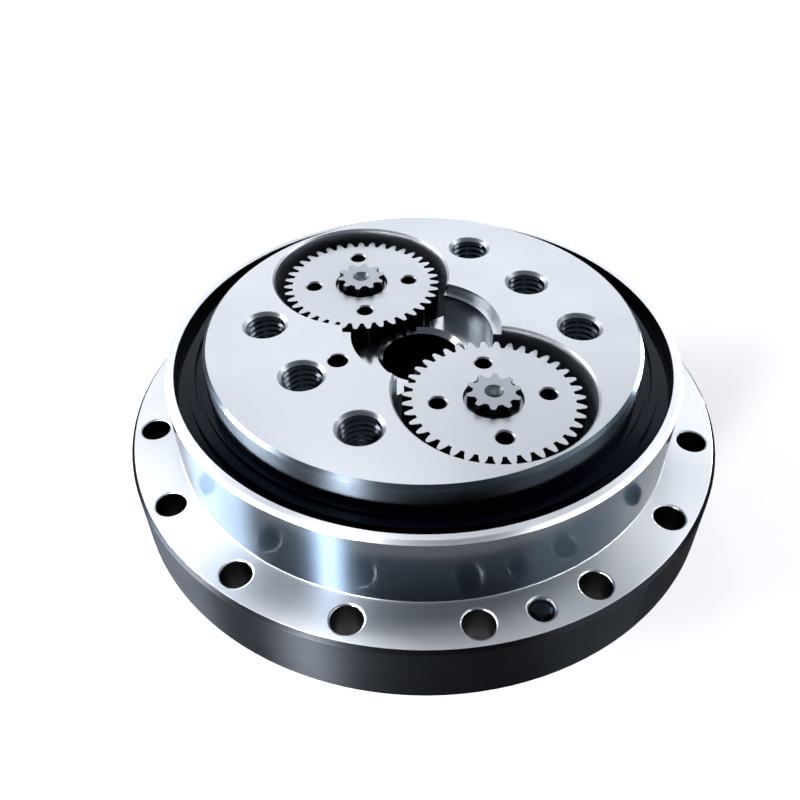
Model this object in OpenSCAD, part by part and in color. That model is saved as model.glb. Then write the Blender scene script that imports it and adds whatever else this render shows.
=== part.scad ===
// Cycloidal reducer with two crankshafts, seen from the side of its spur gears.
// An input pinion, which the machine brings, turns the two spur gears. Their
// crankshafts swing two cycloid discs inside a ring of pins, and the discs push
// the carrier round: the output shaft and the hold flange, bolted together
// through the discs.
// Millimetres. Z is the main axis, the hold flange's outer face is at Z = 0 and
// the output face is at the top. The crankshafts stand on the Y axis.

/* [Case] */
// Diameter of the upper boss, which centres the case in a machine
boss_d = 160; // [158:0.5:164]
// Width of the mounting flange around the boss
flange_w = 15; // [13:0.5:30]
// Thickness of the mounting flange
flange_t = 21.9; // [14:0.1:24]
// Height of the flange's underside above the hold flange's face
flange_rise = 23.2; // [16:0.1:26]
// Step from the upper boss in to the lower boss
lower_boss_step = 1; // [0.5:0.1:3]
// Thickness of the case around the main bearings
case_wall = 7; // [5.5:0.1:8]
// Thickness of the rim around the seal
rim_wall = 2.9; // [2:0.1:4]
// Height of the lower boss's end above the hold flange's face
case_rise = 4.5; // [3:0.1:5]
// Size of the bevels on turned edges
bevel = 1; // [0.4:0.1:1.5]

/* [Case bolts] */
// Number of bolt holes in the flange
bolt_count = 16; // [8:1:20]
// Distance of the bolt holes' centres from the boss
bolt_reach = 7.5; // [6.5:0.1:8]
// Diameter of a bolt hole
bolt_hole_d = 9; // [6:0.5:10]
// Bevel at a bolt hole's mouth
bolt_hole_bevel = 0.4; // [0.2:0.1:0.8]
// Turn of the bolt holes against the output shaft's middle holes
bolt_turn = -2.55; // [-11:0.05:11]
// Core diameter of the two tapped jacking holes between bolt holes
jack_core_d = 6.8; // [4:0.1:7]
// Mouth diameter of a jacking hole
jack_mouth_d = 8.2; // [7.2:0.1:9]

/* [Pins and discs] */
// Number of pins in the case
pin_count = 40; // [36:2:44]
// Distance of the pins' centres in from the main bearings' outer rings
pin_inset = 9; // [8:0.1:9.6]
// Diameter of a pin
pin_d = 6; // [5:0.1:6.5]
// How far the throw falls short of the discs' rolling circle
throw_margin = 0.3; // [0.2:0.05:0.6]
// Thickness of one cycloid disc
disc_t = 9.7; // [9:0.1:11]
// Gap between the two discs
disc_gap = 1; // [0.6:0.1:2]
// Gap between a disc and the carrier's plates
disc_side_gap = 1.2; // [1:0.1:2]
// Wall between a disc's middle hole and its crankshaft bores
disc_web = 6; // [4:0.1:7]
// Gap between a disc and the pins that it rolls on
mesh_gap = 0.12; // [0.1:0.01:0.2]

/* [Main bearings] */
// Radial height of a main bearing
main_section = 15.5; // [14.5:0.1:16.5]
// Width of a main bearing
main_w = 14; // [13:0.1:14.6]
// Number of balls in a main bearing
main_balls = 36; // [20:1:37]
// Diameter of a ball
main_ball_d = 9; // [8:0.1:9.4]
// Wall of a ball cage
ball_cage_wall = 1.9; // [1:0.1:2.2]

/* [Carrier] */
// Thickness of the hold flange
hold_t = 20; // [19.6:0.1:24]
// Height of the hold flange's collar, which carries the lower main bearing
hold_collar_h = 5.4; // [5:0.1:5.6]
// Width by which a collar stands out over an inner race's bore
hold_collar_lip = 4; // [3:0.1:5]
// Width by which the output collar stands out over an inner race's bore
output_lip = 10; // [8.5:0.1:11]
// Height of the output collar
output_collar_h = 18.4; // [17:0.1:20]
// Thickness of the output shaft's plate, with its collar
output_t = 33.2; // [32:0.1:36]
// Distance from a disc's middle hole out to a column
column_web = 12; // [10:0.1:14]
// Distance of a column's outer face in from the main bearings' bore
column_inset = 6.5; // [6.1:0.1:8]
// Half of the angle that a column spans
column_half_turn = 41; // [38:0.5:42]
// Radius of a column's corners
column_fillet = 4; // [2:0.1:6]
// Free space around a column in a disc, beyond the throw
column_gap = 0.5; // [0.3:0.1:1]
// Wall between the input's bore and the crankshafts' bearings
input_wall = 5; // [4.5:0.1:8]
// Width of the shoulder that a crankshaft's bearing seats on
bearing_shoulder = 4; // [3:0.1:5]

/* [Gear pocket] */
// Distance from the output face down to the spur gears
gear_recess = 3.75; // [2:0.05:6]
// Gap between the spur gears and the pocket's floor
gear_floor_gap = 0.6; // [0.4:0.1:1.5]
// Gap between a spur gear and the pocket's wall
gear_wall_gap = 2.9; // [1.5:0.1:3.2]
// Bevel on the edge of the gear pocket
pocket_bevel = 0.6; // [0.2:0.1:1]
// Distance of the middle pocket's wall in from a crankshaft's axis
pinion_room = 13.7; // [12:0.1:16]
// Width of the shallow recess around the middle of the pocket
middle_recess_w = 2.5; // [1:0.1:3.5]
// Depth of the shallow recess
middle_recess_h = 3; // [1:0.1:4]

/* [Output holes] */
// Distance of the four corner holes in from the main bearings' bore
corner_hole_inset = 8.55; // [8:0.05:10]
// Turn of the corner holes from X
corner_hole_turn = 35.2; // [34:0.1:36]
// Distance of the two middle holes in from the main bearings' bore
middle_hole_inset = 15.1; // [12:0.1:16]
// Core diameter of the tapped holes
tap_core_d = 12.2; // [8:0.1:12.8]
// Mouth diameter of the tapped holes
tap_mouth_d = 14.4; // [13:0.1:15]
// Depth of the tapped holes
tap_depth = 20; // [14:0.5:22]
// Diameter of the dowel hole
dowel_d = 6; // [4:0.5:6]
// Distance of the dowel hole in from a middle hole
dowel_inset = 12.1; // [11.5:0.1:13]
// Depth of the dowel hole
dowel_depth = 14; // [8:0.5:18]

/* [Clamp bolts] */
// Diameter of a clamp bolt
clamp_d = 8; // [6:0.5:8]
// Distance of the clamp bolts in from a column's outer face
clamp_inset = 12.5; // [11.5:0.1:13]
// Angle between neighbouring clamp bolts of a column
clamp_turn = 31; // [29:0.5:32]
// Height of a clamp bolt's head
clamp_head_h = 8; // [6:0.1:8]
// Thickness of the conical washer under a head
clamp_washer_t = 1; // [0.8:0.1:1.4]
// Length of a clamp bolt below its head
clamp_length = 30; // [24:0.5:32]
// Depth of a head below the hold flange's face
clamp_sink = 1; // [0.4:0.1:1.4]
// Diameter of a locating pin
locating_d = 6; // [4:0.5:6]
// Distance of the locating pins in from a column's outer face
locating_inset = 5; // [4.6:0.1:5.5]
// Angle of a locating pin against the middle of its column
locating_turn = 15.5; // [14.5:0.5:16.5]
// Length of a locating pin
locating_length = 22; // [16:0.5:24]

/* [Crankshafts] */
// Wall between a crankshaft's bearing and the main bearings' bore
crank_wall = 3; // [2.8:0.1:3.4]
// Diameter of a crankshaft's eccentrics
eccentric_d = 24; // [23.6:0.1:24.4]
// Step from a crankshaft's neck out to the low side of an eccentric
neck_step = 0.05; // [0.05:0.05:0.4]
// Diameter of the crankshaft under its gear
gear_seat_d = 18.8; // [17.4:0.1:19.6]
// Height of a crankshaft's lower end above the lower bearing's inner ring
crank_end_gap = -1; // [-2:0.1:0]
// Height of the crankshaft's splined end above its gear
spline_stand = 2.6; // [1:0.1:4]

/* [Crank bearings] */
// Bore of a tapered bearing
taper_bore_d = 20; // [19:0.1:20.4]
// Outer diameter of a tapered bearing
taper_od = 37; // [36.6:0.1:38]
// Width of a tapered bearing's inner ring
taper_w = 12; // [11.6:0.1:13]
// Width of a tapered bearing's outer ring
taper_cup_w = 9; // [8.6:0.1:9.4]
// Angle between a tapered roller and the crankshaft
taper_angle = 12; // [10:0.5:13]
// Number of tapered rollers
taper_rollers = 17; // [10:1:18]
// Share of a tapered bearing's radial height that its rollers take
taper_roller_share = 0.42; // [0.36:0.01:0.45]
// Share of that height that lies inside the rollers' axes
taper_pitch_share = 0.54; // [0.5:0.01:0.56]
// Length of a tapered roller
taper_roller_l = 7.2; // [6:0.1:7.4]
// Diameter of a needle roller
needle_d = 4; // [3.8:0.1:4.2]
// Length of a needle roller
needle_l = 7.4; // [6:0.1:7.6]
// Number of needle rollers in a disc bearing
needle_count = 16; // [8:1:17]
// Height of a needle cage
needle_cage_h = 9.2; // [8.6:0.1:9.2]
// Wall of a needle cage
needle_cage_wall = 1.5; // [1:0.1:2]
// Thickness of the washers beside the eccentrics
crank_washer_t = 0.85; // [0.6:0.05:0.85]
// Thickness of the clips that hold the tapered bearings
bearing_clip_t = 1.2; // [1:0.1:1.5]
// Depth of a clip's groove
bearing_clip_grip = 0.9; // [0.6:0.1:1.2]

/* [Spur gears] */
// Number of teeth
gear_teeth = 39; // [30:1:40]
// Number of teeth of the input pinion that the gears mesh with
pinion_teeth = 17; // [14:1:20]
// Thickness of a spur gear
gear_t = 6.65; // [5:0.05:7]
// Turn of the teeth on the crankshaft at rest
gear_turn = 3.2; // [0:0.1:9]
// Diameter of the sink around the spline
gear_sink_d = 17.6; // [17.2:0.1:22]
// Depth of the sink around the spline
gear_sink_h = 2.5; // [2:0.1:3]
// Diameter of the four holes in a gear
gear_hole_d = 5; // [3:0.1:6]
// Turn of the four holes at rest
gear_hole_turn = -27.6; // [-45:0.1:45]
// Number of spline teeth
spline_teeth = 10; // [8:1:14]
// Diameter over the spline's teeth
spline_d = 15.8; // [14.6:0.1:16]
// Diameter between the spline's teeth
spline_root_d = 12.2; // [11.6:0.1:12.8]
// Turn of the spline at rest
spline_turn = 13.5; // [0:0.1:36]
// Thickness of the clip over a gear
gear_clip_t = 1.1; // [0.8:0.1:1.4]
// Outer diameter of the clip over a gear
gear_clip_d = 16.8; // [16.4:0.1:17]

/* [Seal] */
// Width of the main seal
seal_w = 9; // [8:0.1:10]
// Depth of the seal below the case's rim
seal_recess = 2.2; // [1:0.1:3]
// Gap between the seal and the main bearing
seal_seat_gap = 0.9; // [0.4:0.1:2]
// Diameter of the garter spring's wire coil
garter_d = 1.4; // [1:0.1:1.6]

/* [Fits] */
// Gap between pieces that are pressed or bolted together
seat_gap = 0.02; // [0.01:0.01:0.05]
// Gap between rolling elements and their tracks
roll_gap = 0.08; // [0.05:0.01:0.12]
// Gap between a seal's lip and its shaft
lip_gap = 0.08; // [0.05:0.01:0.1]
// Gap around a roller or ball in its cage
cage_gap = 0.15; // [0.1:0.01:0.25]

/* [Hidden] */
$fn = 96;

// Colours
STEEL = "gainsboro";
BRIGHT = "whitesmoke";
DARK_STEEL = "slategray";
BRONZE = "peru";
RUBBER = "dimgray";

// cut is how far a cutting tool runs past a face
cut = 1;

// Radii
boss_r = boss_d / 2;
flange_r = boss_r + flange_w;
bolt_circle_r = boss_r + bolt_reach;
lower_boss_r = boss_r - lower_boss_step;
main_outer_r = boss_r - case_wall;
main_inner_r = main_outer_r - main_section;
main_ball_r = main_ball_d / 2;
main_pitch_r = (main_outer_r + main_inner_r) / 2;
seal_r = boss_r - rim_wall;
output_r = main_inner_r + output_lip;
pin_r = pin_d / 2;
pin_circle_r = main_outer_r - pin_inset;
throw = pin_circle_r / pin_count - throw_margin;
eccentric_r = eccentric_d / 2;
disc_bore_r = eccentric_r + needle_d;
needle_pitch_r = eccentric_r + needle_d / 2;
taper_outer_r = taper_od / 2;
taper_bore_r = taper_bore_d / 2;
crank_r = main_inner_r - taper_outer_r - crank_wall;
neck_r = eccentric_r - throw - neck_step;
input_bore_r = crank_r - taper_outer_r - input_wall;
disc_centre_r = crank_r - disc_bore_r - disc_web;
column_in = disc_centre_r + column_web;
column_out = main_inner_r - column_inset;
clamp_r = column_out - clamp_inset;
locating_r = column_out - locating_inset;
corner_hole_r = main_inner_r - corner_hole_inset;
middle_hole_r = main_inner_r - middle_hole_inset;
dowel_r = middle_hole_r - dowel_inset;
middle_pocket_r = crank_r - pinion_room;
middle_recess_r = middle_pocket_r + middle_recess_w;
gear_module = 2 * crank_r / (gear_teeth + pinion_teeth);
gear_tip_r = gear_module * (gear_teeth / 2 + 1);
gear_hole_r = (gear_sink_d / 2 + gear_module * (gear_teeth / 2 - 1.25)) / 2;
pocket_r = gear_tip_r + gear_wall_gap;

// Heights, from the hold flange's face up
disc_lower_z = hold_t + disc_side_gap;
disc_upper_z = disc_lower_z + disc_t + disc_gap;
output_z = disc_upper_z + disc_t + disc_side_gap;
top_z = output_z + output_t;
collar_z = top_z - output_collar_h;
main_lower_z = hold_collar_h;
main_upper_z = collar_z - main_w;
pin_ring_z = main_lower_z + main_w;
pin_ring_top = main_upper_z;
seal_z = collar_z + seal_seat_gap;
seal_top = seal_z + seal_w;
boss_top = seal_top + seal_recess;
flange_top = flange_rise + flange_t;
gear_top = top_z - gear_recess;
gear_z = gear_top - gear_t;
pocket_z = gear_z - gear_floor_gap;
taper_cup_inset = (taper_w - taper_cup_w) / 2;
taper_seat_depth = taper_cup_inset + taper_cup_w;
crank_z = hold_t - taper_w + crank_end_gap;
crank_top = gear_top + spline_stand;

// Tapered bearings: the rollers' axes meet at the apex, on the crankshaft's axis
taper_section = taper_outer_r - taper_bore_r;
taper_pitch_r = taper_bore_r + taper_pitch_share * taper_section;
taper_roller_d = taper_roller_share * taper_section;
taper_apex = taper_pitch_r / tan(taper_angle);
taper_spread = atan(taper_roller_d / 2 * sin(taper_angle) / taper_pitch_r);
function taper_track_r(turn, rise) = (taper_apex + rise) * tan(turn);

// ---------------------------------------------------------------- outlines

// Involute of a circle, as the angle in degrees where the flank has radius r
function involute(angle) = tan(angle) * 180 / PI - angle;

function polar(r, turn) = [r * cos(turn), r * sin(turn)];

// Outline of a spur gear with its first tooth on X
function gear_points(teeth, module_size, flank_steps) =
    let (
        pitch_r = teeth * module_size / 2,
        base_r = pitch_r * cos(20),
        root_r = pitch_r - 1.25 * module_size,
        tip_r = pitch_r + module_size,
        base_turn = 90 / teeth + involute(20),
        start_r = max(base_r, root_r),
        flank = [for (i = [0:flank_steps])
            let (r = start_r + (tip_r - start_r) * i / flank_steps)
            [r, base_turn - involute(acos(base_r / r))]],
        side = concat([[root_r, flank[0][1]]], flank)
    )
    [for (k = [0:teeth - 1]) for (s = [-1, 1])
        for (i = [0:flank_steps + 1])
            let (p = side[s < 0 ? i : flank_steps + 1 - i])
            polar(p[0], k * 360 / teeth + s * p[1])];

// Outline of a spline: its teeth narrow from root_r to tip_r
function spline_points(teeth, root_r, tip_r) =
    let (pitch = 360 / teeth)
    [for (k = [0:teeth - 1])
        for (p = [[root_r, -0.34], [tip_r, -0.13], [tip_r, 0.13], [root_r, 0.34], [root_r, 0.5]])
            polar(p[0], (k + p[1]) * pitch)];

// A point of a cycloid disc whose pins have radius r and sit on a circle of radius big_r
function disc_point(big_r, r, e, count, turn) =
    let (
        lean_turn = (1 - count) * turn,
        lean = atan2(sin(lean_turn), big_r / (e * count) - cos(lean_turn))
    )
    [big_r * cos(turn) - r * cos(turn + lean) - e * cos(count * turn),
     -big_r * sin(turn) + r * sin(turn + lean) + e * sin(count * turn)];

// Points lie closest together in the hollows, where the outline turns fastest
lobe_steps = 16;
lobe_crowd = 0.88;
disc_outline = [for (lobe = [0:pin_count - 2]) for (i = [0:lobe_steps - 1])
    let (step = i / lobe_steps - lobe_crowd * sin(360 * i / lobe_steps) / (2 * PI))
    disc_point(pin_circle_r, pin_r + mesh_gap, throw, pin_count,
               (lobe + step) * 360 / (pin_count - 1))];

// Part of a ring, from -half_turn to half_turn about X
module ring_sector(r_in, r_out, half_turn) {
    reach = (r_out + cut) / cos(half_turn);
    intersection() {
        difference() {
            circle(r_out);
            circle(r_in);
        }
        polygon([[0, 0], polar(reach, -half_turn), polar(reach, half_turn)]);
    }
}

// The same with round corners. Each corner's circle ends a hair inside its neighbours,
// so that their edges cross and never run along each other
module rounded_sector(r_in, r_out, half_turn, fillet) {
    hair = 0.01;
    outer_turn = half_turn - asin(fillet / (r_out - fillet));
    inner_turn = half_turn - asin(fillet / (r_in + fillet));
    ring_sector(r_in + fillet, r_out - fillet, half_turn);
    ring_sector((r_in + r_out) / 2, r_out, outer_turn);
    ring_sector(r_in, (r_in + r_out) / 2, inner_turn);
    for (side = [-1, 1]) {
        rotate(side * outer_turn) translate([r_out - fillet, 0]) circle(fillet - hair);
        rotate(side * inner_turn) translate([r_in + fillet, 0]) circle(fillet - hair);
    }
}

// ------------------------------------------------------------------- tools

// A round hole from z up to top, with bevelled mouths where top_bevel and low_bevel aren't 0
module drill(r, z, top, top_bevel = 0, low_bevel = 0) {
    translate([0, 0, z - cut]) cylinder(h = top - z + 2 * cut, r = r);
    if (top_bevel > 0) {
        translate([0, 0, top - top_bevel])
            cylinder(h = top_bevel + cut, r1 = r, r2 = r + top_bevel + cut);
    }
    if (low_bevel > 0) {
        translate([0, 0, z - cut])
            cylinder(h = low_bevel + cut, r1 = r + low_bevel + cut, r2 = r);
    }
}

// A blind hole down from top, with a drill point at its end
module blind_hole(r, top, depth, mouth_bevel = 0) {
    point_h = r / tan(59);
    translate([0, 0, top - depth]) cylinder(h = depth + cut, r = r);
    translate([0, 0, top - depth - point_h]) cylinder(h = point_h, r1 = 0.01, r2 = r);
    if (mouth_bevel > 0) {
        translate([0, 0, top - mouth_bevel])
            cylinder(h = mouth_bevel + cut, r1 = r, r2 = r + mouth_bevel + cut);
    }
}

module tube(r_in, r_out, z, h) {
    translate([0, 0, z]) difference() {
        cylinder(h = h, r = r_out);
        translate([0, 0, -cut]) cylinder(h = h + 2 * cut, r = r_in);
    }
}

// Its children on crankshaft a or b
module on_crank(which) {
    translate([0, which == "a" ? crank_r : -crank_r, 0]) children();
}

// Its children at every place of the six clamp bolts
module at_clamps() {
    for (column = [0, 180]) for (turn = [-clamp_turn, 0, clamp_turn])
        rotate(column + turn) translate([clamp_r, 0, 0]) children();
}

module at_locating_pins() {
    for (column = [0, 180]) for (side = [-1, 1])
        rotate(column + side * locating_turn) translate([locating_r, 0, 0]) children();
}

module at_output_holes() {
    for (sx = [-1, 1]) {
        for (sy = [-1, 1]) rotate(sy * corner_hole_turn)
            translate([sx * corner_hole_r, 0, 0]) children();
        translate([sx * middle_hole_r, 0, 0]) children();
    }
}

// -------------------------------------------------------------------- case

// The land between the pins clears the discs' lobes
land_r = pin_circle_r + 0.1;

module case_profile() {
    polygon([
        [main_outer_r, case_rise],
        [lower_boss_r - bevel, case_rise],
        [lower_boss_r, case_rise + bevel],
        [lower_boss_r, flange_rise],
        [flange_r - bevel, flange_rise],
        [flange_r, flange_rise + bevel],
        [flange_r, flange_top - bevel],
        [flange_r - bevel, flange_top],
        [boss_r, flange_top],
        [boss_r, boss_top - bevel],
        [boss_r - bevel, boss_top],
        [seal_r, boss_top],
        [seal_r, seal_z],
        [main_outer_r, seal_z],
        [main_outer_r, pin_ring_top],
        [land_r, pin_ring_top],
        [land_r, pin_ring_z],
        [main_outer_r, pin_ring_z]
    ]);
}

module case() {
    color(BRIGHT) difference() {
        rotate_extrude() case_profile();
        for (k = [0:bolt_count - 1])
            rotate(bolt_turn + k * 360 / bolt_count) translate([bolt_circle_r, 0, 0])
                drill(bolt_hole_d / 2, flange_rise, flange_top, bolt_hole_bevel, bolt_hole_bevel);
        for (half = [0, 180])
            rotate(bolt_turn - 4.5 * 360 / bolt_count + half) translate([bolt_circle_r, 0, 0])
                drill(jack_core_d / 2, flange_rise, flange_top,
                      (jack_mouth_d - jack_core_d) / 2, (jack_mouth_d - jack_core_d) / 2);
        for (k = [0:pin_count - 1])
            rotate(k * 360 / pin_count) translate([pin_circle_r, 0, pin_ring_z - cut])
                cylinder(h = pin_ring_top - pin_ring_z + 2 * cut, r = pin_r + seat_gap, $fn = 48);
    }
}

// The pins lie in the case's half-round grooves, between the two outer races
module ring_pins() {
    end_gap = 0.2;
    color(STEEL) for (k = [0:pin_count - 1])
        rotate(k * 360 / pin_count) translate([pin_circle_r, 0, pin_ring_z + end_gap])
            cylinder(h = pin_ring_top - pin_ring_z - 2 * end_gap, r = pin_r, $fn = 48);
}

// The lip seal: a stiff outer leg in the case, a sprung lip on the output collar
// and two ribs on its outer face
seal_skin = 2.4;
seal_sink = 2;
lip_r = output_r + lip_gap;
lip_back_r = lip_r + seal_skin;
seal_leg_r = seal_r - 1.2 * seal_skin;
seal_shelf_r = seal_r - 1.5 * seal_skin;
seal_rib_r = seal_shelf_r - seal_skin;
garter_r = lip_back_r + garter_d / 7;
lip_edge_z = seal_z + 0.47 * seal_w;
garter_z = lip_edge_z - seal_skin / 8;

module oil_seal() {
    color(RUBBER) rotate_extrude() difference() {
        polygon([
            [seal_r - seat_gap, seal_z + seat_gap],
            [seal_r - seat_gap, seal_top - seal_sink],
            [seal_shelf_r, seal_top - seal_sink],
            [seal_shelf_r, seal_top],
            [seal_rib_r, seal_top],
            [seal_rib_r, seal_top - seal_skin / 2],
            [lip_back_r, seal_top - seal_skin / 2],
            [lip_back_r, seal_top],
            [lip_r + lip_gap, seal_top],
            [lip_r, seal_top - seal_skin / 3],
            [lip_r + seal_skin / 2, seal_top - seal_skin],
            [lip_r + seal_skin / 2, lip_edge_z + 0.6 * seal_skin],
            [lip_r, lip_edge_z],
            [lip_r + seal_skin / 4, lip_edge_z - seal_skin / 2],
            [lip_back_r, lip_edge_z - 0.7 * seal_skin],
            [lip_back_r, lip_edge_z + seal_skin / 2],
            [seal_leg_r, lip_edge_z + seal_skin / 2],
            [seal_leg_r, seal_z + seat_gap]
        ]);
        translate([garter_r, garter_z]) circle(garter_d / 2 + seat_gap);
    }
}

module garter_spring() {
    color(STEEL) rotate_extrude() translate([garter_r, garter_z]) circle(garter_d / 2, $fn = 24);
}

// ----------------------------------------------------------- main bearings

race_track_r = main_ball_r + roll_gap;
high_land = main_ball_r * 0.46;
low_land = main_ball_r * 0.86;

// An inner race. thrust is 1 where its high shoulder is at the top, and -1 at the bottom
module inner_race(z, thrust) {
    middle = z + main_w / 2;
    high_r = main_pitch_r - high_land;
    low_r = main_pitch_r - low_land;
    color(STEEL) rotate_extrude() difference() {
        translate([0, middle]) scale([1, thrust]) polygon([
            [main_inner_r + seat_gap, -main_w / 2 + seat_gap],
            [low_r, -main_w / 2 + seat_gap],
            [low_r, 0],
            [high_r, 0],
            [high_r, main_w / 2 - seat_gap],
            [main_inner_r + seat_gap, main_w / 2 - seat_gap]
        ]);
        translate([main_pitch_r, middle]) circle(race_track_r);
    }
}

module outer_race(z, thrust) {
    middle = z + main_w / 2;
    high_r = main_pitch_r + high_land;
    low_r = main_pitch_r + low_land;
    color(STEEL) rotate_extrude() difference() {
        translate([0, middle]) scale([1, thrust]) polygon([
            [main_outer_r - seat_gap, -main_w / 2 + seat_gap],
            [low_r, -main_w / 2 + seat_gap],
            [low_r, 0],
            [high_r, 0],
            [high_r, main_w / 2 - seat_gap],
            [main_outer_r - seat_gap, main_w / 2 - seat_gap]
        ]);
        translate([main_pitch_r, middle]) circle(race_track_r);
    }
}

module main_balls_at(z) {
    color(BRIGHT) for (k = [0:main_balls - 1])
        rotate(k * 360 / main_balls) translate([main_pitch_r, 0, z + main_w / 2])
            sphere(main_ball_r, $fn = 32);
}

module main_cage_at(z) {
    cage_h = main_ball_d + 2.2;
    middle = z + main_w / 2;
    color(BRONZE) difference() {
        tube(main_pitch_r - ball_cage_wall / 2, main_pitch_r + ball_cage_wall / 2,
             middle - cage_h / 2, cage_h);
        for (k = [0:main_balls - 1])
            rotate(k * 360 / main_balls) translate([main_pitch_r, 0, middle])
                rotate([0, 90, 0]) cylinder(h = 3 * ball_cage_wall, r = main_ball_r + cage_gap,
                                            center = true, $fn = 48);
    }
}

// ----------------------------------------------------------------- carrier

hold_collar_r = main_inner_r + hold_collar_lip;
clamp_counterbore_r = clamp_d * 0.8125 + 0.5;
clamp_seat_z = clamp_sink + clamp_head_h + clamp_washer_t;

module column() {
    translate([0, 0, hold_t]) linear_extrude(output_z - hold_t + cut)
        rounded_sector(column_in, column_out, column_half_turn, column_fillet);
}

module output_shaft() {
    color(BRIGHT) difference() {
        union() {
            rotate_extrude() polygon([
                [0, output_z],
                [main_inner_r - bevel, output_z],
                [main_inner_r, output_z + bevel],
                [main_inner_r, collar_z],
                [output_r, collar_z],
                [output_r, top_z - bevel],
                [output_r - bevel, top_z],
                [0, top_z]
            ]);
            for (side = [0, 180]) rotate(side) column();
        }
        // the pocket of the spur gears
        for (which = ["a", "b"]) on_crank(which) {
            translate([0, 0, pocket_z]) cylinder(h = top_z - pocket_z + cut, r = pocket_r);
            translate([0, 0, top_z - pocket_bevel])
                cylinder(h = pocket_bevel + cut, r1 = pocket_r, r2 = pocket_r + pocket_bevel + cut);
        }
        translate([0, 0, pocket_z]) cylinder(h = top_z - pocket_z + cut, r = middle_pocket_r);
        translate([0, 0, top_z - middle_recess_h])
            cylinder(h = middle_recess_h + cut, r = middle_recess_r);
        // the input's bore, and the crankshafts' bearing seats
        drill(input_bore_r, output_z, pocket_z, 1.6, bevel);
        for (which = ["a", "b"]) on_crank(which) {
            translate([0, 0, output_z - cut])
                cylinder(h = taper_seat_depth + cut, r = taper_outer_r);
            drill(taper_outer_r - bearing_shoulder, output_z, pocket_z);
        }
        at_output_holes() blind_hole(tap_core_d / 2, top_z, tap_depth, (tap_mouth_d - tap_core_d) / 2);
        translate([-dowel_r, 0, 0]) blind_hole(dowel_d / 2, top_z, dowel_depth, 0.3);
        // holes in the columns' ends
        at_clamps() translate([0, 0, hold_t - cut])
            cylinder(h = clamp_sink + clamp_head_h + clamp_length + 2 - hold_t + cut,
                     r = clamp_d / 2 + seat_gap, $fn = 48);
        at_locating_pins() translate([0, 0, hold_t - cut])
            cylinder(h = locating_length / 2 + 1 + cut, r = locating_d / 2 + seat_gap, $fn = 48);
    }
}

module hold_flange() {
    color(STEEL) difference() {
        rotate_extrude() polygon([
            [0, 0],
            [hold_collar_r - bevel, 0],
            [hold_collar_r, bevel],
            [hold_collar_r, hold_collar_h],
            [main_inner_r, hold_collar_h],
            [main_inner_r, hold_t - bevel],
            [main_inner_r - bevel, hold_t],
            [0, hold_t]
        ]);
        drill(input_bore_r, 0, hold_t, bevel, bevel);
        for (which = ["a", "b"]) on_crank(which) {
            drill(taper_outer_r, 0, hold_t, 0, bevel / 2);
            translate([0, 0, hold_t - taper_seat_depth - bearing_clip_t - 2 * seat_gap])
                cylinder(h = bearing_clip_t + 2 * seat_gap, r = taper_outer_r + bearing_clip_grip);
        }
        at_clamps() {
            drill(clamp_d / 2 + 0.5, 0, hold_t);
            translate([0, 0, -cut]) cylinder(h = clamp_seat_z + cut, r = clamp_counterbore_r);
        }
        at_locating_pins() drill(locating_d / 2 + seat_gap, 0, hold_t, 0, 0.4);
    }
}

// Socket-head bolts, up through the hold flange into the columns
module clamp_bolts() {
    head_r = clamp_d * 0.8125;
    color(DARK_STEEL) at_clamps() difference() {
        union() {
            translate([0, 0, clamp_sink]) cylinder(h = clamp_head_h, r = head_r);
            translate([0, 0, clamp_sink]) cylinder(h = clamp_head_h + clamp_length, d = clamp_d, $fn = 48);
        }
        translate([0, 0, clamp_sink - cut])
            cylinder(h = clamp_head_h / 2 + cut, d = clamp_d * 0.866, $fn = 6);
    }
}

module clamp_washers() {
    color(STEEL) at_clamps()
        tube(clamp_d / 2 + 0.2, clamp_d * 0.8125, clamp_sink + clamp_head_h + seat_gap,
             clamp_washer_t - 2 * seat_gap);
}

module locating_pins() {
    color(BRIGHT) at_locating_pins()
        translate([0, 0, hold_t - locating_length / 2])
            cylinder(h = locating_length, d = locating_d, $fn = 48);
}

// A ring with a gap and two eyes, for the pliers, that grips a groove in a bore
module bearing_clip(which) {
    groove_r = taper_outer_r + bearing_clip_grip;
    ring_in = taper_outer_r - 1.4;
    eye_r = 1.7;
    eye_turn = 12;
    color(DARK_STEEL) on_crank(which)
        translate([0, 0, hold_t - taper_seat_depth - bearing_clip_t - seat_gap])
            linear_extrude(bearing_clip_t) difference() {
                union() {
                    difference() {
                        circle(groove_r - seat_gap);
                        circle(ring_in);
                        polygon([[0, 0], polar(2 * groove_r, 84), polar(2 * groove_r, 96)]);
                    }
                    for (side = [-1, 1]) rotate(90 + side * eye_turn)
                        translate([ring_in - 0.4, 0]) circle(eye_r, $fn = 32);
                }
                for (side = [-1, 1]) rotate(90 + side * eye_turn)
                    translate([ring_in - 0.6, 0]) circle(0.8, $fn = 24);
            }
}

// ------------------------------------------------------------------- discs

// A cycloid disc. side is 1 where its crankshafts lean towards +X, and -1 towards -X
module cycloid_disc(z, side) {
    window_grow = throw + column_gap;
    window_turn = column_half_turn + asin(window_grow / column_in);
    color(STEEL) translate([side * throw, 0, z]) difference() {
        rotate(side > 0 ? 0 : 180) linear_extrude(disc_t) polygon(disc_outline);
        translate([0, 0, -cut]) {
            cylinder(h = disc_t + 2 * cut, r = disc_centre_r);
            for (which = ["a", "b"]) on_crank(which) cylinder(h = disc_t + 2 * cut, r = disc_bore_r);
            for (turn = [0, 180]) rotate(turn) linear_extrude(disc_t + 2 * cut)
                rounded_sector(column_in - window_grow, column_out + window_grow,
                               window_turn, column_fillet);
        }
    }
}

// ------------------------------------------------------------- crankshafts

gear_clip_z = gear_top - gear_sink_h + seat_gap;
gear_clip_in = spline_root_d / 2 + 0.4;
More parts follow.
